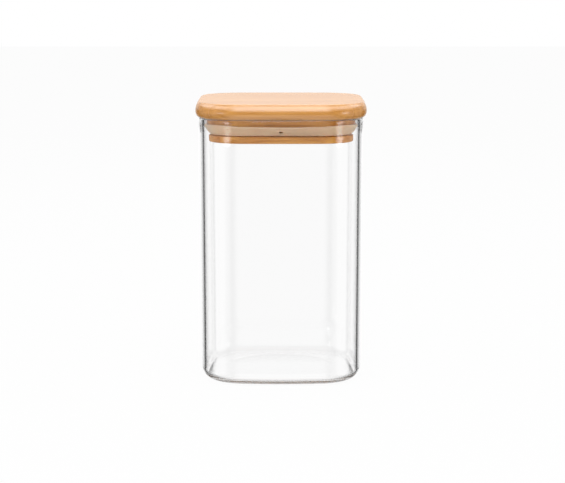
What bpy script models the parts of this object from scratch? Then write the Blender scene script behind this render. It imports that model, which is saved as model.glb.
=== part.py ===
"""Square glass storage jar with a bamboo lid that plugs into its mouth through a silicone seal ring.

Metres, +Z up. The origin is the centre of the base, on the surface that the jar stands on.
Every piece is a loft: outlines in the shape of a rounded square, one above the other, skinned together.
"""

import math

import bmesh
import bpy
from mathutils import Vector

# Glass jar, blown in a square mould
JAR_WIDTH = 0.0970
JAR_HEIGHT = 0.1547
JAR_CORNER_RADIUS = 0.0260
JAR_SIDE_RADIUS = 0.2000
WALL = 0.0022
BASE_THICKNESS = 0.0032
BASE_ROUND = 0.0080
BASE_TAPER = 0.0006
INNER_BASE_ROUND = 0.0035
KICK_UP_DIAMETER = 0.0680
KICK_UP_DEPTH = 0.0003
RIM_BEAD = 0.0005
RIM_BEAD_HEIGHT = 0.0090

# Lid board, with an edge that is rounded deeper above than below
LID_OVERHANG = 0.0015
LID_THICKNESS = 0.0090
LID_CORNER_RADIUS = 0.0255
LID_SIDE_RADIUS = 1.2000
LID_EDGE_DEPTH = 0.0028
LID_LOWER_ROUND = 0.0038

# Plug glued under the board: a collar, a groove for the seal and a foot
PLUG_DEPTH = 0.0140
PLUG_SIDE_RADIUS = 2.0000
COLLAR_CLEARANCE = 0.0033
CORNER_CLEARANCE = 0.0018
FOOT_STEP = 0.0008
FOOT_HEIGHT = 0.0039
FOOT_ROUND = 0.0007
GROOVE_HEIGHT = 0.0054
GROOVE_DEPTH = 0.0034

# Seal ring: a band in the groove and a lip that leans out to the glass
BAND_THICKNESS = 0.0013
LIP_RISE = 0.0050
LIP_THICKNESS = 0.0008
LIP_START = 0.0005
VENT_DIAMETER = 0.0020
LIP_BEND_SHARES = (0.75, 0.15)
VENT_HEIGHT_SHARE = 0.42

# Clearances
LID_SEAT_GAP = 0.0003
GLUE_GAP = 0.0003
GROOVE_GAP = 0.0003
LIP_GAP = 0.0003
CUT_OVERRUN = 0.0020
WELD_DISTANCE = 0.00001

# Steps along the outlines and the profiles
SIDE_STEPS = 6
CORNER_STEPS = 10
ROUND_STEPS = 6
RIM_STEPS = 6
LIP_STEPS = 6
TURN_STEPS = 48
VENT_STEPS = 16
SMOOTH_ANGLE = math.radians(40)

JAR_HALF = JAR_WIDTH / 2
MOUTH_HALF = JAR_HALF - WALL
MOUTH_CORNER_RADIUS = JAR_CORNER_RADIUS - WALL
MOUTH_SIDE_RADIUS = JAR_SIDE_RADIUS - WALL
COLLAR_HALF = MOUTH_HALF - COLLAR_CLEARANCE
PLUG_CORNER_RADIUS = MOUTH_CORNER_RADIUS - CORNER_CLEARANCE
BAND_INSET = GROOVE_DEPTH - GROOVE_GAP
BAND_FACE_INSET = BAND_INSET - BAND_THICKNESS
LID_UNDERSIDE = JAR_HEIGHT + LID_SEAT_GAP
FOOT_TOP = FOOT_HEIGHT - PLUG_DEPTH
GROOVE_TOP = FOOT_TOP + GROOVE_HEIGHT
BAND_BOTTOM = FOOT_TOP + GROOVE_GAP
BAND_TOP = GROOVE_TOP - GROOVE_GAP
LIP_ROOT = BAND_BOTTOM + LIP_START
LIP_GAP_AT_MIDDLE = COLLAR_CLEARANCE + BAND_FACE_INSET - LIP_GAP
LIP_LENGTH = math.hypot(LIP_GAP_AT_MIDDLE, LIP_RISE)


def clear_scene():
    for obj in list(bpy.data.objects):
        bpy.data.objects.remove(obj, do_unlink=True)


def new_collection(name):
    collection = bpy.data.collections.new(name)
    bpy.context.scene.collection.children.link(collection)
    return collection


def arc(start, end, steps):
    return [start + (end - start) * step / steps for step in range(steps + 1)]


def outline(half, corner_radius, side_radius, inset=0.0):
    """Points of a square whose sides are wide arcs and whose corners are tight ones, all tangent.

    An inset moves the whole outline inwards by the same distance.
    """
    lean = math.asin((side_radius - half) / ((side_radius - corner_radius) * math.sqrt(2)))
    turn = math.pi / 4 - lean
    side_centre = half - side_radius
    corner_centre = (side_radius - corner_radius) * math.sin(turn)
    side, corner = side_radius - inset, corner_radius - inset
    quarter = [
        (side_centre + side * math.cos(a), side * math.sin(a))
        for a in arc(-turn, turn, SIDE_STEPS)[:-1]
    ]
    quarter += [
        (corner_centre + corner * math.cos(a), corner_centre + corner * math.sin(a))
        for a in arc(turn, math.pi / 2 - turn, CORNER_STEPS)[:-1]
    ]
    points = []
    for _ in range(4):
        points += quarter
        quarter = [(-y, x) for x, y in quarter]
    return points


def level_loop(shape, inset, height):
    return [Vector((x, y, height)) for x, y in outline(*shape, inset)]


def rounded_edge(inset, height, depth, rise, start, end):
    """Insets and heights along an elliptical edge about the point at inset and height.

    Its angle runs from start to end, and is 0 where the edge faces outwards.
    """
    return [
        (inset - depth * math.cos(a), height + rise * math.sin(a))
        for a in arc(start, end, ROUND_STEPS)
    ]


def loft(name, loops, is_ring=False):
    """A closed mesh through the loops. A ring joins its last loop to its first, and any other is capped."""
    bm = bmesh.new()
    rows = [[bm.verts.new(point) for point in loop] for loop in loops]
    following = rows[1:] + rows[:1] if is_ring else rows[1:]
    for row, following_row in zip(rows, following):
        for i in range(len(row)):
            bm.faces.new((row[i - 1], row[i], following_row[i], following_row[i - 1]))
    if not is_ring:
        bm.faces.new(rows[0])
        bm.faces.new(rows[-1])
    bmesh.ops.recalc_face_normals(bm, faces=bm.faces)
    mesh = bpy.data.meshes.new(name)
    bm.to_mesh(mesh)
    bm.free()
    return mesh


def add_part(name, mesh, collection, material, parent=None):
    mesh.shade_smooth()
    mesh.set_sharp_from_angle(angle=SMOOTH_ANGLE)
    mesh.materials.append(material)
    obj = bpy.data.objects.new(name, mesh)
    collection.objects.link(obj)
    obj.parent = parent
    return obj


def add_cutter(obj, cutters, target):
    for collection in obj.users_collection:
        collection.objects.unlink(obj)
    cutters.objects.link(obj)
    obj.hide_render = True
    obj.display_type = "WIRE"
    cut = target.modifiers.new(obj.name, "BOOLEAN")
    cut.operation = "DIFFERENCE"
    cut.solver = "EXACT"
    cut.object = obj


def plain_material(name, colour, roughness):
    material = bpy.data.materials.new(name)
    material.use_nodes = True
    shader = material.node_tree.nodes["Principled BSDF"]
    shader.inputs["Base Color"].default_value = (*colour, 1)
    shader.inputs["Roughness"].default_value = roughness
    shader.inputs["Metallic"].default_value = 0
    return material


def glass_material():
    material = plain_material("clear_glass", (0.97, 0.98, 0.98), 0.02)
    shader = material.node_tree.nodes["Principled BSDF"]
    shader.inputs["Transmission Weight"].default_value = 1
    shader.inputs["IOR"].default_value = 1.47
    return material


def board_material():
    return plain_material("bamboo_board", (0.73, 0.46, 0.22), 0.45)


def plug_material():
    return plain_material("bamboo_plug", (0.63, 0.36, 0.15), 0.5)


def seal_material():
    material = plain_material("milky_silicone", (0.80, 0.76, 0.70), 0.4)
    material.node_tree.nodes["Principled BSDF"].inputs["Transmission Weight"].default_value = 0.4
    return material


def jar_profile():
    """Insets and heights from the underside, up the outside, over the rim and down to the floor."""
    foot = rounded_edge(
        BASE_ROUND + BASE_TAPER, BASE_ROUND, BASE_ROUND, BASE_ROUND, -math.pi / 2, 0
    )
    neck = [(0.0, JAR_HEIGHT - RIM_BEAD_HEIGHT)]
    rim_half = (WALL + RIM_BEAD) / 2
    rim_centre = (WALL - RIM_BEAD) / 2
    rim = [
        (rim_centre - rim_half * math.cos(a), JAR_HEIGHT - rim_half + rim_half * math.sin(a))
        for a in arc(0, math.pi, RIM_STEPS)
    ]
    inner_neck = [(WALL, JAR_HEIGHT - RIM_BEAD_HEIGHT)]
    inner_foot = rounded_edge(
        WALL + BASE_TAPER + INNER_BASE_ROUND,
        BASE_THICKNESS + INNER_BASE_ROUND,
        INNER_BASE_ROUND,
        INNER_BASE_ROUND,
        0,
        -math.pi / 2,
    )
    return foot + neck + rim + inner_neck + inner_foot


def kick_up_mesh():
    """Half of a shallow dish, which a turn about Z makes whole. It reaches below the base."""
    radius = KICK_UP_DIAMETER / 2
    bulge = (radius**2 + KICK_UP_DEPTH**2) / (2 * KICK_UP_DEPTH)
    half_angle = math.asin(radius / bulge)
    points = [
        (bulge * math.sin(a), 0, KICK_UP_DEPTH - bulge * (1 - math.cos(a)))
        for a in arc(0, half_angle, ROUND_STEPS)
    ]
    points += [(radius, 0, -CUT_OVERRUN), (0, 0, -CUT_OVERRUN)]
    mesh = bpy.data.meshes.new("kick_up_cutter")
    mesh.from_pydata(points, [(i, i + 1) for i in range(len(points) - 1)], [])
    return mesh


def add_glass_jar(parts, cutters):
    shape = (JAR_HALF, JAR_CORNER_RADIUS, JAR_SIDE_RADIUS)
    loops = [level_loop(shape, inset, height) for inset, height in jar_profile()]
    jar = add_part("glass_jar", loft("glass_jar", loops), parts, glass_material())
    dish = bpy.data.objects.new("kick_up_cutter", kick_up_mesh())
    turn = dish.modifiers.new("turn", "SCREW")
    turn.axis = "Z"
    turn.angle = 2 * math.pi
    turn.steps = TURN_STEPS
    turn.render_steps = TURN_STEPS
    turn.use_merge_vertices = True
    turn.merge_threshold = WELD_DISTANCE
    add_cutter(dish, cutters, jar)
    return jar


def add_lid_board(parts, lid):
    shape = (JAR_HALF + LID_OVERHANG, LID_CORNER_RADIUS, LID_SIDE_RADIUS)
    upper_round = LID_THICKNESS - LID_LOWER_ROUND
    lower = rounded_edge(LID_EDGE_DEPTH, LID_LOWER_ROUND, LID_EDGE_DEPTH, LID_LOWER_ROUND, -math.pi / 2, 0)
    upper = rounded_edge(LID_EDGE_DEPTH, LID_LOWER_ROUND, LID_EDGE_DEPTH, upper_round, 0, math.pi / 2)
    loops = [level_loop(shape, inset, height) for inset, height in lower + upper[1:]]
    return add_part("lid_board", loft("lid_board", loops), parts, board_material(), lid)


def plug_shape():
    return (COLLAR_HALF, PLUG_CORNER_RADIUS, PLUG_SIDE_RADIUS)


def add_lid_plug(parts, lid):
    """Heights here are below the board's underside, where the plug is glued on."""
    foot_edge = rounded_edge(
        FOOT_STEP + FOOT_ROUND, FOOT_ROUND - PLUG_DEPTH, FOOT_ROUND, FOOT_ROUND, -math.pi / 2, 0
    )
    steps = [
        (FOOT_STEP, FOOT_TOP),
        (GROOVE_DEPTH, FOOT_TOP),
        (GROOVE_DEPTH, GROOVE_TOP),
        (0.0, GROOVE_TOP),
        (0.0, -GLUE_GAP),
    ]
    loops = [level_loop(plug_shape(), inset, height) for inset, height in foot_edge + steps]
    return add_part("lid_plug", loft("lid_plug", loops), parts, plug_material(), lid)


def lip_point(band_point, reach, share, side):
    """A point on the lip's outer face (side 0) or inner face (side 1).

    The lip leaves the band and bends up until it meets the glass. It is as long everywhere, so it stands
    taller where the gap is narrower than at the middle of a side.
    """
    gap = reach.length
    rise = math.sqrt(LIP_LENGTH**2 - gap**2)
    bend_out, bend_up = LIP_BEND_SHARES
    out = 2 * share * (1 - share) * bend_out + share**2
    up = 2 * share * (1 - share) * bend_up + share**2
    slope_out = gap * (2 * (1 - 2 * share) * bend_out + 2 * share)
    slope_up = rise * (2 * (1 - 2 * share) * bend_up + 2 * share)
    slope = math.hypot(slope_out, slope_up)
    shift = side * LIP_THICKNESS
    along = out * gap - shift * slope_up / slope
    height = LIP_ROOT + up * rise + shift * slope_out / slope
    return band_point + reach * (along / gap) + Vector((0, 0, height))


def lip_loop(share, side):
    band = outline(*plug_shape(), BAND_FACE_INSET)
    mouth = outline(MOUTH_HALF, MOUTH_CORNER_RADIUS, MOUTH_SIDE_RADIUS, LIP_GAP)
    points = []
    for band_xy, mouth_xy in zip(band, mouth):
        band_point = Vector((*band_xy, 0))
        points.append(lip_point(band_point, Vector((*mouth_xy, 0)) - band_point, share, side))
    return points


def vent_cutter(lid):
    """A rod through the lip at the middle of the front side, which stops short of the band behind it."""
    inner_end = COLLAR_HALF - BAND_FACE_INSET + LIP_THICKNESS
    outer_end = MOUTH_HALF + CUT_OVERRUN
    bpy.ops.mesh.primitive_cylinder_add(
        vertices=VENT_STEPS,
        radius=VENT_DIAMETER / 2,
        depth=outer_end - inner_end,
        location=(0, -(inner_end + outer_end) / 2, LIP_ROOT + VENT_HEIGHT_SHARE * LIP_RISE),
        rotation=(math.pi / 2, 0, 0),
    )
    vent = bpy.context.object
    vent.name = "vent_cutter"
    vent.parent = lid
    return vent


def add_seal_ring(parts, cutters, lid):
    band_loops = [
        level_loop(plug_shape(), BAND_FACE_INSET, BAND_TOP),
        level_loop(plug_shape(), BAND_INSET, BAND_TOP),
        level_loop(plug_shape(), BAND_INSET, BAND_BOTTOM),
        level_loop(plug_shape(), BAND_FACE_INSET, BAND_BOTTOM),
    ]
    shares = arc(0, 1, LIP_STEPS)
    outer = [lip_loop(share, 0) for share in shares]
    inner = [lip_loop(share, 1) for share in reversed(shares[1:])]
    inner_root = level_loop(plug_shape(), BAND_FACE_INSET, LIP_ROOT + LIP_THICKNESS)
    mesh = loft("seal_ring", band_loops + outer + inner + [inner_root], is_ring=True)
    seal = add_part("seal_ring", mesh, parts, seal_material(), lid)

    add_cutter(vent_cutter(lid), cutters, seal)
    return seal


def build():
    clear_scene()
    parts = new_collection("glass_storage_jar")
    cutters = new_collection("cutters")
    add_glass_jar(parts, cutters)
    lid = bpy.data.objects.new("lid_lift", None)
    parts.objects.link(lid)
    lid.location = (0, 0, LID_UNDERSIDE)
    add_lid_board(parts, lid)
    add_lid_plug(parts, lid)
    add_seal_ring(parts, cutters, lid)


build()
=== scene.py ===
"""Looks of the square glass storage jar and its bamboo lid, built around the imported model.

Metres, +Z up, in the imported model's own frame. The front of the jar faces -Y, where the seal has its vent.
Every piece is a loft of rings, and each ring is a square with bowed sides and round corners.
"""

import math

import bmesh
import bpy
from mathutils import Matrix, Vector


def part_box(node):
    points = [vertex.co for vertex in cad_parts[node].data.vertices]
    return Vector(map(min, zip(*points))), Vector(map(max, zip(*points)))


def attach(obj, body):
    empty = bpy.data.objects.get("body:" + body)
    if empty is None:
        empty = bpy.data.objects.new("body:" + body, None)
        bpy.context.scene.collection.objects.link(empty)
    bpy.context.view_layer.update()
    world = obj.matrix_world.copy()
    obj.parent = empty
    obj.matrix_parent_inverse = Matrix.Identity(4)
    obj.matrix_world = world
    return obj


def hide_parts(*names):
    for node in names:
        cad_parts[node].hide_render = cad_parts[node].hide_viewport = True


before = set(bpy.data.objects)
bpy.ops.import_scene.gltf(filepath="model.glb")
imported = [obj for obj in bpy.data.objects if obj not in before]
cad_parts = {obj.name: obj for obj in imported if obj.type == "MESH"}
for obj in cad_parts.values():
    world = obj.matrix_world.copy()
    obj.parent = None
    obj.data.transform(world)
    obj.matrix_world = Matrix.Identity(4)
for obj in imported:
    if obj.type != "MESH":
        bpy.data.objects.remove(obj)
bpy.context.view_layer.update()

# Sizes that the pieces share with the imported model
JAR_CORNER_RADIUS = 0.0260
JAR_SIDE_RADIUS = 0.2000
WALL = 0.0022
BASE_THICKNESS = 0.0032
BASE_ROUND = 0.0080
BASE_TAPER = 0.0006
INNER_BASE_ROUND = 0.0035
KICK_UP_RADIUS = 0.0340
KICK_UP_DEPTH = 0.0003
RIM_BEAD = 0.0005
RIM_BEAD_HEIGHT = 0.0090
LID_CORNER_RADIUS = 0.0255
LID_SIDE_RADIUS = 1.2000
LID_EDGE_DEPTH = 0.0028
LID_LOWER_ROUND = 0.0038
PLUG_SIDE_RADIUS = 2.0000
COLLAR_CLEARANCE = 0.0033
CORNER_CLEARANCE = 0.0018
FOOT_STEP = 0.0008
FOOT_HEIGHT = 0.0039
FOOT_ROUND = 0.0007
GROOVE_HEIGHT = 0.0054
GROOVE_DEPTH = 0.0034
GROOVE_GAP = 0.0003
BAND_THICKNESS = 0.0013
LIP_START = 0.0005
LIP_RISE = 0.0050
LIP_THICKNESS = 0.0008
LIP_GAP = 0.0003
VENT_HEIGHT_SHARE = 0.42

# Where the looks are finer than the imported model. The seal's lip bends at these shares of its reach outwards
# and upwards. Its vent is a hole flattened to a share of its width, sunk into the band behind it, with a fine
# moulded rim
LIP_BEND_SHARES = (0.55, 0.38)
VENT_RADIUS = 0.0012
VENT_FLATTEN_SHARE = 0.5
VENT_SINK = 0.0014
VENT_RIM_HEIGHT = 0.0002
VENT_RIM_WIDTH = 0.0004
RIM_ROUND = 0.0007
EDGE_EASE = 0.0003
SEAL_EASE = 0.0003
SEAL_LOWER_EASE = 0.00012
SHARP_ANGLE = math.radians(50)

# An extra ring at this distance from a round keeps the shading of the flat beside it even
HOLDING = 0.0006

# Steps along the rings and the profiles, and the sizes of the rings that fill a flat end
SIDE_STEPS = 24
CORNER_STEPS = 36
ROUND_STEPS = 14
SMALL_ROUND_STEPS = 5
BEAD_STEPS = 8
LIP_STEPS = 28
VENT_STEPS = 32
VENT_FINE_STEPS = 24
VENT_FINE_HALF = 0.0030
CENTRE_SHARES = (0.85, 0.65, 0.45, 0.25)

# Directions that a face looks in, as angles along a rounded edge
OUTWARDS = 0.0
UPWARDS = math.pi / 2
INWARDS = math.pi
DOWNWARDS = -math.pi / 2

# The sides of the lip that look at the glass and at the plug
OUTER_FACE = -1
INNER_FACE = 1

# The photograph's frame, and a camera that stands in front of the jar and looks a little down
FRAME_WIDTH_PX = 565
FOCAL_PX = 1942
AXIS_PX = 281.05
SENSOR_WIDTH = 36
CAMERA_DISTANCE = 1.1500
CAMERA_HEIGHT = 0.2505
CAMERA_PITCH = math.radians(8.52)

GLASS_IOR = 1.47

# Bamboo. The board has a strong lacquer and the plug a thin one, and gloss is the shader's specular level
BOARD_LOOKS = {
    "pale": (0.80, 0.39, 0.100),
    "dark": (0.57, 0.23, 0.035),
    "roughness": 0.25,
    "gloss": 1.0,
    "ior": 1.6,
}
PLUG_LOOKS = {
    "pale": (1.00, 0.50, 0.115),
    "dark": (0.56, 0.175, 0.018),
    "roughness": 0.40,
    "gloss": 0.25,
    "ior": 1.5,
}

# The wood's pattern. Scales are in waves per metre along X, Y and Z, a range is where a thing starts to show
# and where it is full, and shares say how much each thing darkens the wood
STRIP_WIDTH = 0.0072
STRIP_SHIFT = 7.31
GLUE_LINE = 0.00016
NODE_SPACING = 0.1700
NODE_WIDTH = 0.0014
STREAK_SCALES = (24, 430, 430)
STREAK_DETAIL = 3
STREAK_RANGE = (0.36, 0.66)
STREAK_SHARE = 0.42
FIBRE_SCALES = (60, 1700, 1700)
FIBRE_DETAIL = 2
FIBRE_RANGE = (0.36, 0.66)
FIBRE_SHARE = 0.22
END_GRAIN_RANGE = (0.15, 0.75)
END_GRAIN_SHARE = 0.15
TONE_SHARE = 0.30
JOINT_SHARE = 0.22
NODE_SHARE = 0.35
ROUGHNESS_SPREAD = 0.10
GRAIN_STRENGTH = 0.35
GRAIN_DEPTH = 0.00006

# Silicone. It lets light a little way in, and red light furthest
SILICONE_PALE = (0.97, 0.68, 0.44)
SILICONE_WARM = (0.93, 0.60, 0.37)
SILICONE_ROUGHNESS = 0.30
SILICONE_IOR = 1.41
SILICONE_MILKINESS = 0.25
SILICONE_DEPTH = 0.0012
SILICONE_DEPTH_BY_COLOUR = (1.0, 0.7, 0.5)
CLOUD_SCALES = (110, 110, 160)
CLOUD_DETAIL = 3
CLOUD_RANGE = (0.32, 0.68)
FLOW_SCALES = (30, 30, 1500)
FLOW_DETAIL = 2
FLOW_SHARE = 0.35
FLOW_STRENGTH = 0.20
FLOW_DEPTH = 0.00005

# Floor, and the ambient light on matt surfaces in the open and behind glass
FLOOR_SIZE = 8.0
FLOOR_COLOUR = (0.75, 0.75, 0.75)
FLOOR_WHITE_SHARE = 0.97
AMBIENT = 0.11
AMBIENT_BEHIND_GLASS = 1.15

# Two low lamps to the sides, which show in the glass as upright bands, and one lamp straight above
SIDE_RADIANCE = 4.6
SIDE_AZIMUTHS = (math.radians(-46), math.radians(59.5))
SIDE_DISTANCE = 0.90
SIDE_WIDTH = 0.46
SIDE_HEIGHT = 0.12
SIDE_MIDDLE = 0.112
TOP_RADIANCE = 1.4
TOP_HEIGHT = 1.10
TOP_SIZE = 0.54

# Softboxes round the lid, which look down on it. Each has a name, its azimuth from the front and its
# elevation in degrees, its width, its height and its radiance. Lamps fade over a share of their width
SOFT_EDGE = 0.45
SOFTBOX_DISTANCE = 1.20
SOFTBOXES = (
    ("key", 0, 40, 1.30, 1.20, 2.9),
    ("wing_left", -55, 40, 1.30, 0.65, 2.1),
    ("wing_right", 55, 40, 1.30, 0.65, 2.1),
    ("rear_left", -108, 37, 1.50, 0.65, 2.2),
    ("rear_right", 108, 37, 1.50, 0.65, 2.2),
    ("back", 180, 48, 1.10, 0.80, 2.0),
)

# The studio that glass and gloss show. A pair says where a part of it starts and where it is full, as a share
# of a direction's length along one axis, and a brightness is a share of white
BACKDROP = (math.cos(math.radians(42)), math.cos(math.radians(4)))
SIDE_PANELS = (math.sin(math.radians(46)), math.sin(math.radians(60)))
PANELS_OUTSIDE = 0.40
ROOM = (math.cos(math.radians(45)), math.cos(math.radians(20)))
ROOM_BRIGHTNESS = 0.90
TABLE = (0.25, 0.45)
TABLE_SIDES = (0.15, 0.70)
TABLE_BRIGHTNESS = 0.84
ABOVE = (0.20, 0.42)
HORIZON = (-0.02, 0.02)
HORIZON_BEHIND = (0.30, 0.90)

# Light goes round many times inside the glass. A ray's depths are whole numbers, so above ONCE it has passed
# or bounced at least once
LIGHT_BOUNCES = 128
ONCE = 0.5

# Sockets of Blender's Mix node that hold colours
MIX_FIRST = 6
MIX_SECOND = 7
MIX_RESULT = 2

_, jar_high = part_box("glass_jar")
board_low, board_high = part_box("lid_board")
plug_low, plug_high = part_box("lid_plug")

JAR_HALF = jar_high.x - RIM_BEAD
JAR_HEIGHT = jar_high.z
MOUTH_HALF = JAR_HALF - WALL
COLLAR_HALF = MOUTH_HALF - COLLAR_CLEARANCE
JAR_SHAPE = (JAR_HALF, JAR_CORNER_RADIUS, JAR_SIDE_RADIUS)
MOUTH_SHAPE = (MOUTH_HALF, JAR_CORNER_RADIUS - WALL, JAR_SIDE_RADIUS - WALL)
BOARD_SHAPE = (board_high.x, LID_CORNER_RADIUS, LID_SIDE_RADIUS)
PLUG_SHAPE = (COLLAR_HALF, JAR_CORNER_RADIUS - WALL - CORNER_CLEARANCE, PLUG_SIDE_RADIUS)
BEAD_BOTTOM = JAR_HEIGHT - RIM_BEAD_HEIGHT
BEAD_TOP = JAR_HEIGHT - (WALL + RIM_BEAD) / 2
FOOT_TOP = plug_low.z + FOOT_HEIGHT
GROOVE_TOP = FOOT_TOP + GROOVE_HEIGHT
BAND_INSET = GROOVE_DEPTH - GROOVE_GAP
BAND_FACE_INSET = BAND_INSET - BAND_THICKNESS
BAND_TOP = GROOVE_TOP - GROOVE_GAP
LIP_ROOT = FOOT_TOP + GROOVE_GAP + LIP_START
LIP_LENGTH = math.hypot(COLLAR_CLEARANCE + BAND_FACE_INSET - LIP_GAP, LIP_RISE)
VENT_HEIGHT = VENT_HEIGHT_SHARE * LIP_RISE


def spread(start, end, steps):
    return [start + (end - start) * step / steps for step in range(steps + 1)]


def mixed(a, b, share):
    return a + (b - a) * share


def stations(front_extra=()):
    """Places round a ring, as (quarter, is on the side, share of that side or corner). Quarter 3 is the
    front, and its side takes the extra shares as well."""
    places = []
    for quarter in range(4):
        side = [step / SIDE_STEPS for step in range(SIDE_STEPS)]
        if quarter == 3:
            side = sorted(set(side) | set(front_extra))
        places += [(quarter, True, share) for share in side]
        places += [(quarter, False, step / CORNER_STEPS) for step in range(CORNER_STEPS)]
    return places


EVEN_STATIONS = stations()


def ring(shape, inset, height, places=EVEN_STATIONS):
    """Points of a square whose sides are wide arcs and whose corners are tight ones, all tangent."""
    half, corner_radius, side_radius = shape
    lean = math.asin((side_radius - half) / ((side_radius - corner_radius) * math.sqrt(2)))
    turn = math.pi / 4 - lean
    side_centre = half - side_radius
    corner_centre = (side_radius - corner_radius) * math.sin(turn)
    points = []
    for quarter, on_side, share in places:
        if on_side:
            angle, centre, radius = mixed(-turn, turn, share), (side_centre, 0.0), side_radius - inset
        else:
            angle = mixed(turn, math.pi / 2 - turn, share)
            centre, radius = (corner_centre, corner_centre), corner_radius - inset
        x = centre[0] + radius * math.cos(angle)
        y = centre[1] + radius * math.sin(angle)
        for _ in range(quarter):
            x, y = -y, x
        points.append(Vector((x, y, height)))
    return points


def circle(radius, height):
    """A circle whose points lie in the same directions as the jar's own ring."""
    directions = [Vector((p.x, p.y, 0)).normalized() for p in ring(JAR_SHAPE, 0, 0)]
    return [direction * radius + Vector((0, 0, height)) for direction in directions]


def shrunk(row, share, height):
    return [Vector((p.x * share, p.y * share, height)) for p in row]


def rounded(inset, height, depth, rise, start, end, steps=ROUND_STEPS):
    """Insets and heights along an elliptical edge. Its angle is 0 where the edge faces outwards."""
    return [(inset - depth * math.cos(a), height + rise * math.sin(a)) for a in spread(start, end, steps)]


def eased_corner(inset, height, turn_from, turn_to, ease=EDGE_EASE):
    """A small round on the corner at inset and height, between two directions that its faces look in."""
    across = -(math.cos(turn_from) + math.cos(turn_to)) * ease
    up = (math.sin(turn_from) + math.sin(turn_to)) * ease
    return rounded(inset - across, height - up, ease, ease, turn_from, turn_to, SMALL_ROUND_STEPS)


def mesh_of(name, bm):
    mesh = bpy.data.meshes.new(name)
    bm.to_mesh(mesh)
    bm.free()
    return mesh


def add_object(name, data):
    obj = bpy.data.objects.new(name, data)
    bpy.context.scene.collection.objects.link(obj)
    return obj


def loft(name, rows, closed):
    """A mesh through the rows of points. A closed loft joins its last row to its first, and any other has a
    point at each end, where it shrinks to its own centre."""
    bm = bmesh.new()
    made = [[bm.verts.new(point) for point in row] for row in rows]
    pairs = list(zip(made, made[1:] + made[:1])) if closed else list(zip(made, made[1:]))
    for row, above in pairs:
        for i in range(len(row)):
            bm.faces.new((row[i - 1], row[i], above[i], above[i - 1]))
    if not closed:
        for row, is_first in ((made[0], True), (made[-1], False)):
            middle = bm.verts.new(sum((v.co for v in row), Vector()) / len(row))
            for i in range(len(row)):
                bm.faces.new((row[i], row[i - 1], middle) if is_first else (row[i - 1], row[i], middle))
    bmesh.ops.recalc_face_normals(bm, faces=bm.faces)
    mesh = mesh_of(name, bm)
    mesh.shade_smooth()
    return mesh


def piece(name, rows, body, node, material, closed=False):
    """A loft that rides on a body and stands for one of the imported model's nodes."""
    obj = add_object(name, loft(name, rows, closed))
    obj.data.materials.append(material)
    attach(obj, body)
    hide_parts(node)
    return obj


def underside_rows():
    """The shallow hollow in the middle of the base, and the start of the flat ring that the jar stands on."""
    bulge = (KICK_UP_RADIUS**2 + KICK_UP_DEPTH**2) / (2 * KICK_UP_DEPTH)
    rows = []
    for share in spread(0, 1, ROUND_STEPS)[1:]:
        radius = KICK_UP_RADIUS * share
        rows.append(circle(radius, KICK_UP_DEPTH - bulge + math.sqrt(bulge**2 - radius**2)))
    resting = ring(JAR_SHAPE, BASE_ROUND + BASE_TAPER, 0)
    rows.append([mixed(a, b, 0.5) for a, b in zip(rows[-1], resting)])
    rows.append([mixed(a, b, HOLDING / BASE_ROUND) for a, b in zip(resting, rows[-1])])
    return rows


def taper(height, low, high):
    """How far a wall draws in at a height. It is the whole taper at low, and nothing at high."""
    return BASE_TAPER * (1 - (height - low) / (high - low))


def outer_wall():
    """Insets and heights from the edge of the base up to the middle of the rim."""
    profile = rounded(BASE_ROUND + BASE_TAPER, BASE_ROUND, BASE_ROUND, BASE_ROUND, DOWNWARDS, OUTWARDS)
    for height in (BASE_ROUND + HOLDING, mixed(BASE_ROUND, BEAD_BOTTOM, 0.5), BEAD_BOTTOM - HOLDING):
        profile.append((taper(height, BASE_ROUND, BEAD_BOTTOM), height))
    for share in spread(0, 1, BEAD_STEPS)[:-1]:
        ease = share * share * (3 - 2 * share)
        profile.append((-RIM_BEAD * ease, mixed(BEAD_BOTTOM, BEAD_TOP, share)))
    rim_height = JAR_HEIGHT - RIM_ROUND
    return profile + rounded(RIM_ROUND - RIM_BEAD, rim_height, RIM_ROUND, RIM_ROUND, OUTWARDS, UPWARDS)


def inner_wall():
    """Insets and heights from the middle of the rim down to the edge of the floor."""
    foot_inset = WALL + BASE_TAPER + INNER_BASE_ROUND
    foot_height = BASE_THICKNESS + INNER_BASE_ROUND
    profile = rounded(WALL - RIM_ROUND, JAR_HEIGHT - RIM_ROUND, RIM_ROUND, RIM_ROUND, UPWARDS, INWARDS)
    profile.append((WALL, BEAD_TOP - HOLDING))
    for height in (BEAD_BOTTOM, mixed(BEAD_BOTTOM, foot_height, 0.5), foot_height + HOLDING):
        profile.append((WALL + taper(height, foot_height, BEAD_BOTTOM), height))
    return profile + rounded(foot_inset, foot_height, INNER_BASE_ROUND, INNER_BASE_ROUND, OUTWARDS, DOWNWARDS)


def jar_rows():
    """From the middle of the underside, up the outside, over the rim, and down to the middle of the floor."""
    walls = [ring(JAR_SHAPE, inset, height) for inset, height in outer_wall() + inner_wall()]
    floor = [shrunk(walls[-1], share, BASE_THICKNESS) for share in (1 - HOLDING / JAR_HALF, *CENTRE_SHARES)]
    return underside_rows() + walls + floor


def board_rows():
    """From the middle of the board's underside, round its edge, to the middle of its top."""
    middle = board_low.z + LID_LOWER_ROUND
    edge = rounded(LID_EDGE_DEPTH, middle, LID_EDGE_DEPTH, LID_LOWER_ROUND, DOWNWARDS, OUTWARDS)
    edge += rounded(LID_EDGE_DEPTH, middle, LID_EDGE_DEPTH, board_high.z - middle, OUTWARDS, UPWARDS)[1:]
    rows = [ring(BOARD_SHAPE, inset, height) for inset, height in edge]
    holding = 1 - HOLDING / board_high.x
    below = [shrunk(rows[0], share, board_low.z) for share in (*reversed(CENTRE_SHARES), holding)]
    above = [shrunk(rows[-1], share, board_high.z) for share in (holding, *CENTRE_SHARES)]
    return below + rows + above


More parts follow.
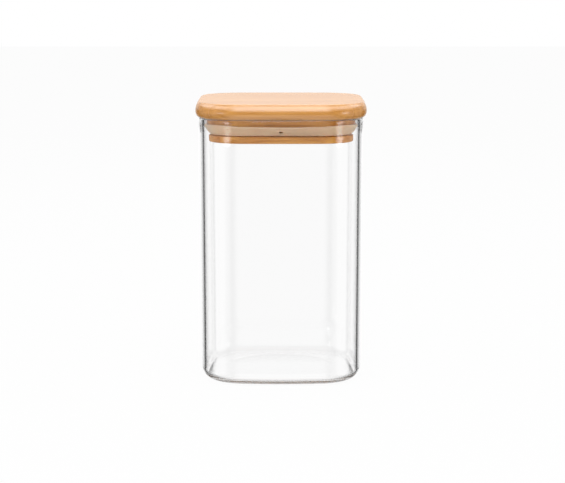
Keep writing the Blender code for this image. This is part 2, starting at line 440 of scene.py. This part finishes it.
def plug_rows():
    """From the middle of the foot's underside, out and up past the groove, to the middle of the top."""
    foot_inset, foot_height = FOOT_STEP + FOOT_ROUND, plug_low.z + FOOT_ROUND
    profile = rounded(foot_inset, foot_height, FOOT_ROUND, FOOT_ROUND, DOWNWARDS, OUTWARDS)
    profile += eased_corner(FOOT_STEP, FOOT_TOP, OUTWARDS, UPWARDS)
    profile += [(GROOVE_DEPTH, FOOT_TOP), (GROOVE_DEPTH, GROOVE_TOP)]
    profile += eased_corner(0.0, GROOVE_TOP, DOWNWARDS, OUTWARDS)
    profile += [(0.0, plug_high.z - HOLDING), (0.0, plug_high.z)]
    rows = [ring(PLUG_SHAPE, inset, height) for inset, height in profile]
    holding = 1 - HOLDING / COLLAR_HALF
    below = [shrunk(rows[0], share, plug_low.z) for share in (*reversed(CENTRE_SHARES), holding)]
    above = [shrunk(rows[-1], share, plug_high.z) for share in CENTRE_SHARES]
    return below + rows + above


def lip_frame(reach, share):
    """How far out and up the lip's outer face is from the lip's root, and its direction there, out and up."""
    rise = math.sqrt(LIP_LENGTH**2 - reach**2)
    bend_out, bend_up = LIP_BEND_SHARES
    out = 2 * share * (1 - share) * bend_out + share**2
    up = 2 * share * (1 - share) * bend_up + share**2
    slope_out = reach * (2 * (1 - 2 * share) * bend_out + 2 * share)
    slope_up = rise * (2 * (1 - 2 * share) * bend_up + 2 * share)
    slope = math.hypot(slope_out, slope_up)
    return out * reach, up * rise, slope_out / slope, slope_up / slope


def lip_row(share, face, places):
    """Points on one face of the lip. Both faces draw in to a round tip."""
    band = ring(PLUG_SHAPE, BAND_FACE_INSET, 0, places)
    mouth = ring(MOUTH_SHAPE, LIP_GAP, 0, places)
    round_from = 1 - LIP_THICKNESS / LIP_LENGTH
    past = max(0.0, (share - round_from) / (1 - round_from))
    half = LIP_THICKNESS / 2 * math.sqrt(max(0.0, 1 - past**2))
    points = []
    for band_point, mouth_point in zip(band, mouth):
        reach = mouth_point - band_point
        out, up, slope_out, slope_up = lip_frame(reach.length, share)
        rim = vent_rim(band_point.x, band_point.y, up) if face == OUTER_FACE else 0.0
        shift = LIP_THICKNESS / 2 + face * half - rim
        out -= shift * slope_up
        up += shift * slope_out
        points.append(band_point + reach.normalized() * out + Vector((0, 0, LIP_ROOT + up)))
    return points


def vent_rim(x, y, up):
    """How far the moulded rim round the vent stands proud of the lip."""
    if y > 0:
        return 0.0
    above = (up - VENT_HEIGHT) / VENT_FLATTEN_SHARE
    away = math.hypot(x, above) - VENT_RADIUS - VENT_RIM_WIDTH / 2
    return VENT_RIM_HEIGHT * math.exp(-((away / VENT_RIM_WIDTH) ** 2))


def seal_rows():
    """Down the band's inner side, then up the lip's outer face and down its inner one, back to the band."""
    places = seal_stations()
    bottom = LIP_ROOT - SEAL_LOWER_EASE
    band = eased_corner(BAND_FACE_INSET, BAND_TOP, OUTWARDS, UPWARDS, SEAL_EASE)
    band += eased_corner(BAND_INSET, BAND_TOP, UPWARDS, INWARDS, SEAL_EASE)
    band += eased_corner(BAND_INSET, bottom, INWARDS, DOWNWARDS + math.tau, SEAL_LOWER_EASE)
    band += eased_corner(BAND_FACE_INSET, bottom, DOWNWARDS, OUTWARDS, SEAL_LOWER_EASE)
    rows = [ring(PLUG_SHAPE, inset, height, places) for inset, height in band]
    shares = spread(0, 1, LIP_STEPS)
    rows += [lip_row(share, OUTER_FACE, places) for share in shares[1:]]
    rows += [lip_row(share, INNER_FACE, places) for share in reversed(shares[1:-1])]
    rows.append(ring(PLUG_SHAPE, BAND_FACE_INSET, LIP_ROOT + LIP_THICKNESS, places))
    return rows


def seal_stations():
    """Places round the seal, with extra ones at the middle of the front side, where the vent is."""
    fine = VENT_FINE_HALF / COLLAR_HALF
    return stations([0.5 + offset / 2 for offset in spread(-fine, fine, VENT_FINE_STEPS)])


def cut_vent(seal):
    """Cuts the vent through the lip and a little way into the band behind it."""
    inner_end = COLLAR_HALF - BAND_FACE_INSET - VENT_SINK
    depth = MOUTH_HALF - inner_end
    bm = bmesh.new()
    bmesh.ops.create_cone(
        bm, cap_ends=True, segments=VENT_STEPS, radius1=VENT_RADIUS, radius2=VENT_RADIUS, depth=depth
    )
    cutter = add_object("vent_cutter", mesh_of("vent_cutter", bm))
    cutter.location = (0, -inner_end - depth / 2, LIP_ROOT + VENT_HEIGHT)
    cutter.rotation_euler = (math.pi / 2, 0, 0)
    cutter.scale = (1, VENT_FLATTEN_SHARE, 1)
    cut = seal.modifiers.new("vent", "BOOLEAN")
    cut.operation = "DIFFERENCE"
    cut.solver = "EXACT"
    cut.object = cutter
    bpy.context.view_layer.update()
    cut_mesh = bpy.data.meshes.new_from_object(seal.evaluated_get(bpy.context.evaluated_depsgraph_get()))
    seal.modifiers.clear()
    seal.data = cut_mesh
    seal.data.set_sharp_from_angle(angle=SHARP_ANGLE)
    bpy.data.objects.remove(cutter)


def maths(tree, operation, first, second=0, kind="ShaderNodeMath"):
    """The result of a Math or Vector Math node on two values, each a socket or a constant."""
    node = tree.nodes.new(kind)
    node.operation = operation
    for socket, value in zip(node.inputs, (first, second)):
        if isinstance(value, bpy.types.NodeSocket):
            tree.links.new(value, socket)
        else:
            socket.default_value = value
    return node.outputs[0]


def total(tree, *terms):
    """The sum of the terms, each a value and its weight."""
    result = 0
    for value, weight in terms:
        result = maths(tree, "ADD", result, maths(tree, "MULTIPLY", value, weight))
    return result


def largest(tree, first, *others):
    result = first
    for value in others:
        result = maths(tree, "MAXIMUM", result, value)
    return result


def smooth_step(tree, value, low, high):
    """0 where the value is low, 1 where it is high, and smooth in between."""
    node = tree.nodes.new("ShaderNodeMapRange")
    node.interpolation_type = "SMOOTHSTEP"
    tree.links.new(value, node.inputs["Value"])
    node.inputs["From Min"].default_value = low
    node.inputs["From Max"].default_value = high
    return node.outputs["Result"]


def off_middle(tree, value):
    """How far a value is from 0.5."""
    return maths(tree, "ABSOLUTE", maths(tree, "SUBTRACT", value, 0.5))


def coordinates(tree, kind):
    return tree.nodes.new("ShaderNodeTexCoord").outputs[kind]


def split(tree, vector):
    """The X, Y and Z of a vector."""
    node = tree.nodes.new("ShaderNodeSeparateXYZ")
    tree.links.new(vector, node.inputs[0])
    return node.outputs


def stretched_noise(tree, place, scales, detail, shift=None):
    """Noise on places that are scaled along each axis, and shifted along X where a shift is given."""
    place = maths(tree, "MULTIPLY", place, scales, "ShaderNodeVectorMath")
    if shift is not None:
        offset = tree.nodes.new("ShaderNodeCombineXYZ")
        tree.links.new(shift, offset.inputs[0])
        place = maths(tree, "ADD", place, offset.outputs[0], "ShaderNodeVectorMath")
    noise = tree.nodes.new("ShaderNodeTexNoise")
    tree.links.new(place, noise.inputs["Vector"])
    noise.inputs["Scale"].default_value = 1
    noise.inputs["Detail"].default_value = detail
    return noise.outputs[0]


def mix_colour(tree, share, first, second):
    mix = tree.nodes.new("ShaderNodeMix")
    mix.data_type = "RGBA"
    tree.links.new(share, mix.inputs["Factor"])
    mix.inputs[MIX_FIRST].default_value = (*first, 1)
    mix.inputs[MIX_SECOND].default_value = (*second, 1)
    return mix.outputs[MIX_RESULT]


def bump(tree, height, strength, depth):
    node = tree.nodes.new("ShaderNodeBump")
    node.inputs["Strength"].default_value = strength
    node.inputs["Distance"].default_value = depth
    tree.links.new(height, node.inputs["Height"])
    return node.outputs[0]


def new_material(name):
    material = bpy.data.materials.new(name)
    material.use_nodes = True
    return material, material.node_tree, material.node_tree.nodes["Principled BSDF"]


def glass_material():
    material, _, shader = new_material("clear_glass")
    shader.inputs["Base Color"].default_value = (1, 1, 1, 1)
    shader.inputs["Roughness"].default_value = 0
    shader.inputs["Transmission Weight"].default_value = 1
    shader.inputs["IOR"].default_value = GLASS_IOR
    return material


def bamboo_material(name, start, pale, dark, roughness, gloss, ior):
    """Glued bamboo strips along X: each has its own tone, long soft streaks, fine fibres and a few nodes, and
    its ends are darker. The strips' edges are moved along Y by start."""
    material, tree, shader = new_material(name)
    place = coordinates(tree, "Object")
    x, y, _ = split(tree, place)
    across = maths(tree, "DIVIDE", maths(tree, "ADD", y, start), STRIP_WIDTH)
    strip = maths(tree, "FLOOR", across)
    tone = tree.nodes.new("ShaderNodeTexWhiteNoise")
    tone.noise_dimensions = "1D"
    tree.links.new(strip, tone.inputs["W"])
    tone = tone.outputs["Value"]
    shift = maths(tree, "MULTIPLY", strip, STRIP_SHIFT)
    streaks = stretched_noise(tree, place, STREAK_SCALES, STREAK_DETAIL, shift)
    fibres = stretched_noise(tree, place, FIBRE_SCALES, FIBRE_DETAIL, shift)
    joint = off_middle(tree, maths(tree, "FRACT", across))
    joint = smooth_step(tree, joint, 0.5 - GLUE_LINE / STRIP_WIDTH, 0.5)
    along = maths(tree, "DIVIDE", x, NODE_SPACING)
    along = maths(tree, "ADD", along, maths(tree, "MULTIPLY", tone, STRIP_SHIFT))
    node = off_middle(tree, maths(tree, "FRACT", along))
    node = maths(tree, "SUBTRACT", 1, smooth_step(tree, node, 0, NODE_WIDTH / NODE_SPACING))
    end_grain = maths(tree, "ABSOLUTE", split(tree, coordinates(tree, "Normal"))[0])
    darkness = total(
        tree,
        (smooth_step(tree, end_grain, *END_GRAIN_RANGE), END_GRAIN_SHARE),
        (smooth_step(tree, streaks, *STREAK_RANGE), STREAK_SHARE),
        (smooth_step(tree, fibres, *FIBRE_RANGE), FIBRE_SHARE),
        (tone, TONE_SHARE),
        (joint, JOINT_SHARE),
        (node, NODE_SHARE),
    )
    tree.links.new(mix_colour(tree, darkness, pale, dark), shader.inputs["Base Color"])
    polish = total(tree, (fibres, ROUGHNESS_SPREAD), (joint, ROUGHNESS_SPREAD))
    polish = maths(tree, "ADD", polish, roughness - ROUGHNESS_SPREAD / 2)
    tree.links.new(polish, shader.inputs["Roughness"])
    grooves = total(tree, (fibres, 1 - JOINT_SHARE), (joint, -JOINT_SHARE))
    tree.links.new(bump(tree, grooves, GRAIN_STRENGTH, GRAIN_DEPTH), shader.inputs["Normal"])
    shader.inputs["Specular IOR Level"].default_value = gloss
    shader.inputs["IOR"].default_value = ior
    return material


def seal_material():
    """Milky silicone, a little cloudy, with faint flow lines round the ring from its mould."""
    material, tree, shader = new_material("milky_silicone")
    place = coordinates(tree, "Object")
    cloud = stretched_noise(tree, place, CLOUD_SCALES, CLOUD_DETAIL)
    flow = stretched_noise(tree, place, FLOW_SCALES, FLOW_DETAIL)
    share = total(tree, (cloud, 1 - FLOW_SHARE), (flow, FLOW_SHARE))
    colour = mix_colour(tree, smooth_step(tree, share, *CLOUD_RANGE), SILICONE_PALE, SILICONE_WARM)
    tree.links.new(colour, shader.inputs["Base Color"])
    polish = maths(tree, "ADD", maths(tree, "MULTIPLY", cloud, ROUGHNESS_SPREAD), SILICONE_ROUGHNESS)
    tree.links.new(polish, shader.inputs["Roughness"])
    tree.links.new(bump(tree, flow, FLOW_STRENGTH, FLOW_DEPTH), shader.inputs["Normal"])
    shader.inputs["Subsurface Weight"].default_value = SILICONE_MILKINESS
    shader.inputs["Subsurface Radius"].default_value = SILICONE_DEPTH_BY_COLOUR
    shader.inputs["Subsurface Scale"].default_value = SILICONE_DEPTH
    shader.inputs["IOR"].default_value = SILICONE_IOR
    return material


def studio_parts(tree):
    """How bright the backdrop, the side panels, the room, the table and what is above are in a direction.

    The backdrop is behind the jar, the panels are to either side, the pale room is in front, and the pale
    table is below, in front and behind. It is white high up all round, and behind from the horizon up.
    """
    x, y, z = split(tree, coordinates(tree, "Generated"))
    sideways = maths(tree, "ABSOLUTE", x)
    backdrop = smooth_step(tree, y, *BACKDROP)
    panels = smooth_step(tree, sideways, *SIDE_PANELS)
    room = smooth_step(tree, maths(tree, "MULTIPLY", y, -1), *ROOM)
    room = maths(tree, "MULTIPLY", room, ROOM_BRIGHTNESS)
    table = smooth_step(tree, maths(tree, "MULTIPLY", z, -1), *TABLE)
    beside = smooth_step(tree, sideways, *TABLE_SIDES)
    table = maths(tree, "MULTIPLY", table, maths(tree, "SUBTRACT", 1, beside))
    table = maths(tree, "MULTIPLY", table, TABLE_BRIGHTNESS)
    behind = smooth_step(tree, y, *HORIZON_BEHIND)
    behind = maths(tree, "MULTIPLY", smooth_step(tree, z, *HORIZON), behind)
    above = largest(tree, smooth_step(tree, z, *ABOVE), behind)
    return backdrop, panels, room, table, above


def studio_brightness(tree):
    """What a ray that ends in the studio shows.

    The camera, and light that passes straight through the glass, see white all round. Light that has bounced
    inside the glass sees the backdrop, the panels, the room and the table, with dark gaps between them.
    Reflections see what is above instead of the room, and see weaker panels if they lie outside the glass.
    A ray that has met a matt surface brings plain ambient light, and more of it where that surface is seen
    straight through the glass, which keeps much of the lamps' light out.
    """
    path = tree.nodes.new("ShaderNodeLightPath").outputs
    backdrop, panels, room, table, above = studio_parts(tree)
    in_glass = maths(tree, "GREATER_THAN", path["Transmission Depth"], ONCE)
    straight = maths(tree, "LESS_THAN", path["Glossy Depth"], ONCE)
    diffused = maths(tree, "GREATER_THAN", path["Diffuse Depth"], ONCE)
    through = largest(tree, straight, backdrop, panels, table, room)
    through = maths(tree, "MULTIPLY", path["Is Transmission Ray"], through)
    panels = maths(tree, "MULTIPLY", panels, maths(tree, "MAXIMUM", in_glass, PANELS_OUTSIDE))
    reflected = largest(tree, backdrop, panels, table, above)
    reflected = maths(tree, "MULTIPLY", path["Is Reflection Ray"], reflected)
    shown = largest(tree, through, reflected, path["Is Camera Ray"])
    behind_glass = maths(tree, "MULTIPLY", in_glass, straight)
    ambient = maths(tree, "MULTIPLY", behind_glass, AMBIENT_BEHIND_GLASS - AMBIENT)
    ambient = maths(tree, "ADD", AMBIENT, ambient)
    return total(tree, (shown, maths(tree, "SUBTRACT", 1, diffused)), (ambient, diffused))


def add_world():
    world = bpy.data.worlds.new("studio")
    bpy.context.scene.world = world
    world.use_nodes = True
    background = world.node_tree.nodes["Background"]
    background.inputs["Color"].default_value = (1, 1, 1, 1)
    world.node_tree.links.new(studio_brightness(world.node_tree), background.inputs["Strength"])


def add_floor():
    """A matt floor that the camera sees as white with the object's shadow. Glass and gloss don't show it."""
    bm = bmesh.new()
    bmesh.ops.create_grid(bm, x_segments=1, y_segments=1, size=FLOOR_SIZE / 2)
    floor = add_object("floor", mesh_of("floor", bm))
    material, tree, shader = new_material("floor")
    shader.inputs["Base Color"].default_value = (*FLOOR_COLOUR, 1)
    shader.inputs["Roughness"].default_value = 1
    shader.inputs["Specular IOR Level"].default_value = 0
    white = tree.nodes.new("ShaderNodeEmission")
    path = tree.nodes.new("ShaderNodeLightPath").outputs
    mix = tree.nodes.new("ShaderNodeMixShader")
    tree.links.new(maths(tree, "MULTIPLY", path["Is Camera Ray"], FLOOR_WHITE_SHARE), mix.inputs[0])
    tree.links.new(shader.outputs[0], mix.inputs[1])
    tree.links.new(white.outputs[0], mix.inputs[2])
    tree.links.new(mix.outputs[0], tree.nodes["Material Output"].inputs[0])
    floor.data.materials.append(material)
    floor.visible_transmission = False
    floor.visible_glossy = False


def add_softbox(name, place, aim, width, height, radiance, through_glass=False):
    """A lamp that is brightest along its middle and fades towards its two upright edges. The camera doesn't
    see it, and it is seen through the glass only where through_glass is true."""
    lamp = bpy.data.lights.new(name, "AREA")
    lamp.shape = "RECTANGLE"
    lamp.size = width
    lamp.size_y = height
    lamp.energy = radiance * width * height * math.pi
    lamp.use_nodes = True
    tree = lamp.node_tree
    across = split(tree, tree.nodes.new("ShaderNodeNewGeometry").outputs["Parametric"])[0]
    inwards = maths(tree, "SUBTRACT", 0.5, off_middle(tree, across))
    tree.links.new(smooth_step(tree, inwards, 0, SOFT_EDGE), tree.nodes["Emission"].inputs["Strength"])
    obj = add_object(name, lamp)
    obj.location = place
    obj.rotation_euler = (Vector(aim) - Vector(place)).to_track_quat("-Z", "Y").to_euler()
    obj.visible_camera = False
    obj.visible_transmission = through_glass


def around(azimuth, distance, height):
    """A place at a distance from the jar's axis, where an azimuth of 0 is in front."""
    return distance * math.sin(azimuth), -distance * math.cos(azimuth), height


def add_lamps():
    for name, azimuth in zip(("side_left", "side_right"), SIDE_AZIMUTHS):
        place, aim = around(azimuth, SIDE_DISTANCE, SIDE_MIDDLE), (0, 0, SIDE_MIDDLE)
        add_softbox(name, place, aim, SIDE_WIDTH, SIDE_HEIGHT, SIDE_RADIANCE, through_glass=True)
    for name, azimuth, elevation, width, height, radiance in SOFTBOXES:
        up = math.radians(elevation)
        rise = SOFTBOX_DISTANCE * math.sin(up)
        place = around(math.radians(azimuth), SOFTBOX_DISTANCE * math.cos(up), board_high.z + rise)
        add_softbox(name, place, (0, 0, board_high.z), width, height, radiance)
    add_softbox("top", (0, 0, TOP_HEIGHT), (0, 0, 0), TOP_SIZE, TOP_SIZE, TOP_RADIANCE)


def add_camera():
    data = bpy.data.cameras.new("camera")
    data.sensor_width = SENSOR_WIDTH
    data.lens = SENSOR_WIDTH * FOCAL_PX / FRAME_WIDTH_PX
    data.shift_x = (FRAME_WIDTH_PX / 2 - AXIS_PX) / FRAME_WIDTH_PX
    camera = add_object("camera", data)
    camera.location = (0, -CAMERA_DISTANCE, CAMERA_HEIGHT)
    camera.rotation_euler = (math.pi / 2 - CAMERA_PITCH, 0, 0)
    bpy.context.scene.camera = camera


def add_pieces():
    piece("glass_jar_walls", jar_rows(), "jar", "glass_jar", glass_material())
    wood = bamboo_material("bamboo_board", 0, **BOARD_LOOKS)
    piece("lid_board_wood", board_rows(), "lid", "lid_board", wood)
    wood = bamboo_material("bamboo_plug", STRIP_WIDTH / 2, **PLUG_LOOKS)
    piece("lid_plug_wood", plug_rows(), "lid", "lid_plug", wood)
    rows, silicone = seal_rows(), seal_material()
    seal = piece("seal_ring_silicone", rows, "lid", "seal_ring", silicone, closed=True)
    cut_vent(seal)


add_camera()
add_pieces()
add_floor()
add_world()
add_lamps()
bpy.context.scene.view_settings.view_transform = "Standard"
bpy.context.scene.cycles.max_bounces = LIGHT_BOUNCES
bpy.context.scene.cycles.glossy_bounces = LIGHT_BOUNCES
bpy.context.scene.cycles.transmission_bounces = LIGHT_BOUNCES
